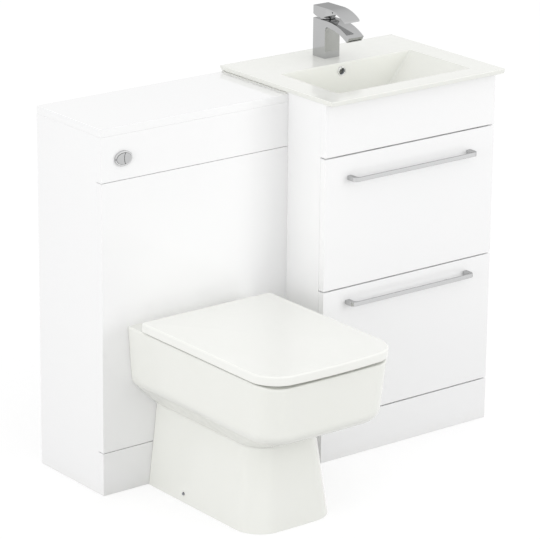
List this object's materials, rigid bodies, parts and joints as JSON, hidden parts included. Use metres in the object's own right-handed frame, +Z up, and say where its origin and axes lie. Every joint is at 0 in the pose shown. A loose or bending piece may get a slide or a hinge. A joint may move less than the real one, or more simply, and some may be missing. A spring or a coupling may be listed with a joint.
{
  "type": "toilet and basin combination unit",
  "caption": "Bathroom furniture run: a shallow unit that hides a cistern, with a back-to-wall toilet, and a deeper basin unit with drawers, slab basin and waterfall tap.",
  "frame": {"origin": "middle of the overall footprint, on the floor", "axes": "+X to the viewer's right along the wall, from the toilet unit to the basin unit; +Y towards the wall; +Z up"},
  "size_m": [0.996, 0.751, 0.9601],
  "materials": {
    "gloss_board": "gloss",
    "carcass_board": "matte",
    "glazed_ceramic": "gloss",
    "seat_plastic": "gloss",
    "chrome_plate": "polished",
    "chromed_brass": "polished",
    "runner_steel": "satin",
    "cistern_plastic": "satin",
    "grey_plastic": "satin",
    "buffer_rubber": "matte"
  },
  "bodies": {
    "furniture": {"wc_side_left": "gloss_board", "wc_side_right": "gloss_board", "wc_worktop": "gloss_board", "wc_upper_strip": "gloss_board", "wc_front_panel": "gloss_board", "wc_plinth": "gloss_board", "vanity_side_left": "gloss_board", "vanity_side_right": "gloss_board", "vanity_fascia": "gloss_board", "vanity_plinth": "gloss_board", "wc_rails": "carcass_board", "vanity_floor": "carcass_board", "vanity_back_rails": "carcass_board", "vanity_front_rails": "carcass_board", "pan": "glazed_ceramic", "basin": "glazed_ceramic", "button_bezel": "chrome_plate", "overflow_ring": "chrome_plate", "pan_caps": "chrome_plate", "hinge_posts": "chrome_plate", "tap_body": "chromed_brass", "waste_body": "chromed_brass", "runner_rails": "runner_steel", "hinge_pins": "runner_steel", "pan_screws": "runner_steel", "cistern_tank": "cistern_plastic", "cistern_lid": "cistern_plastic", "button_housing": "cistern_plastic", "flush_valve_body": "cistern_plastic", "flush_pipe": "cistern_plastic", "soil_connector": "cistern_plastic", "bottle_trap": "cistern_plastic", "pan_brackets": "cistern_plastic", "hinge_nuts": "cistern_plastic", "fill_valve": "grey_plastic", "flush_cone": "buffer_rubber"},
    "toilet_lid": {"lid": "seat_plastic", "lid_buffers": "buffer_rubber"},
    "toilet_seat": {"seat": "seat_plastic", "seat_buffers": "buffer_rubber"},
    "full_button": {"full_flush_button": "chrome_plate"},
    "half_button": {"half_flush_button": "chrome_plate"},
    "full_sleeve": {"full_flush_sleeve": "grey_plastic"},
    "half_float": {"half_flush_float": "cistern_plastic"},
    "fill_float": {"fill_valve_float": "cistern_plastic"},
    "upper_drawer": {"upper_drawer_front": "gloss_board", "upper_drawer_box": "carcass_board", "upper_drawer_floor": "carcass_board", "upper_drawer_slides": "runner_steel", "upper_handle": "chrome_plate"},
    "upper_runners": {"upper_runner_members": "runner_steel"},
    "lower_drawer": {"lower_drawer_front": "gloss_board", "lower_drawer_box": "carcass_board", "lower_drawer_floor": "carcass_board", "lower_drawer_slides": "runner_steel", "lower_handle": "chrome_plate"},
    "lower_runners": {"lower_runner_members": "runner_steel"},
    "plug": {"waste_plug": "chromed_brass"},
    "tap_swivel": {"tap_cartridge": "chromed_brass"},
    "lever": {"tap_lever": "chromed_brass"}
  },
  "joints": [
    {"name": "lid_hinge", "type": "hinge", "parent": "furniture", "child": "toilet_lid", "pos_m": [-0.2625, 0.068, 0.3935], "axis": [-1, 0, 0], "range_deg": [0, 95]},
    {"name": "seat_hinge", "type": "hinge", "parent": "furniture", "child": "toilet_seat", "pos_m": [-0.2625, 0.068, 0.3935], "axis": [-1, 0, 0], "range_deg": [0, 93]},
    {"name": "full_button_press", "type": "slide", "parent": "furniture", "child": "full_button", "axis": [0, 1, 0], "range_m": [0, 0.003], "stiffness_N_per_m": 700},
    {"name": "half_button_press", "type": "slide", "parent": "furniture", "child": "half_button", "axis": [0, 1, 0], "range_m": [0, 0.003], "stiffness_N_per_m": 700},
    {"name": "full_sleeve_lift", "type": "slide", "parent": "furniture", "child": "full_sleeve", "axis": [0, 0, 1], "range_m": [0, 0.009]},
    {"name": "half_float_lift", "type": "slide", "parent": "furniture", "child": "half_float", "axis": [0, 0, 1], "range_m": [0, 0.006]},
    {"name": "fill_float_rise", "type": "slide", "parent": "furniture", "child": "fill_float", "axis": [0, 0, 1], "range_m": [0, 0.1]},
    {"name": "upper_drawer_slide", "type": "slide", "parent": "furniture", "child": "upper_drawer", "axis": [0, -1, 0], "range_m": [0, 0.3]},
    {"name": "upper_runner_slide", "type": "slide", "parent": "furniture", "child": "upper_runners", "axis": [0, -1, 0], "range_m": [0, 0.15]},
    {"name": "lower_drawer_slide", "type": "slide", "parent": "furniture", "child": "lower_drawer", "axis": [0, -1, 0], "range_m": [0, 0.3]},
    {"name": "lower_runner_slide", "type": "slide", "parent": "furniture", "child": "lower_runners", "axis": [0, -1, 0], "range_m": [0, 0.15]},
    {"name": "plug_rise", "type": "slide", "parent": "furniture", "child": "plug", "axis": [0, 0, 1], "range_m": [0, 0.006]},
    {"name": "tap_turn", "type": "hinge", "parent": "furniture", "child": "tap_swivel", "pos_m": [0.245, 0.303, 0.946], "axis": [0, 0, 1], "range_deg": [-45, 45]},
    {"name": "tap_lift", "type": "hinge", "parent": "tap_swivel", "child": "lever", "pos_m": [0.245, 0.303, 0.946], "axis": [-1, 0, 0], "range_deg": [0, 18]}
  ],
  "couplings": [
    {"joint": "seat_hinge", "follows": "lid_hinge", "ratio": 0.97},
    {"joint": "full_sleeve_lift", "follows": "full_button_press", "ratio": 3},
    {"joint": "half_float_lift", "follows": "half_button_press", "ratio": 2},
    {"joint": "upper_runner_slide", "follows": "upper_drawer_slide", "ratio": 0.5},
    {"joint": "lower_runner_slide", "follows": "lower_drawer_slide", "ratio": 0.5}
  ]
}
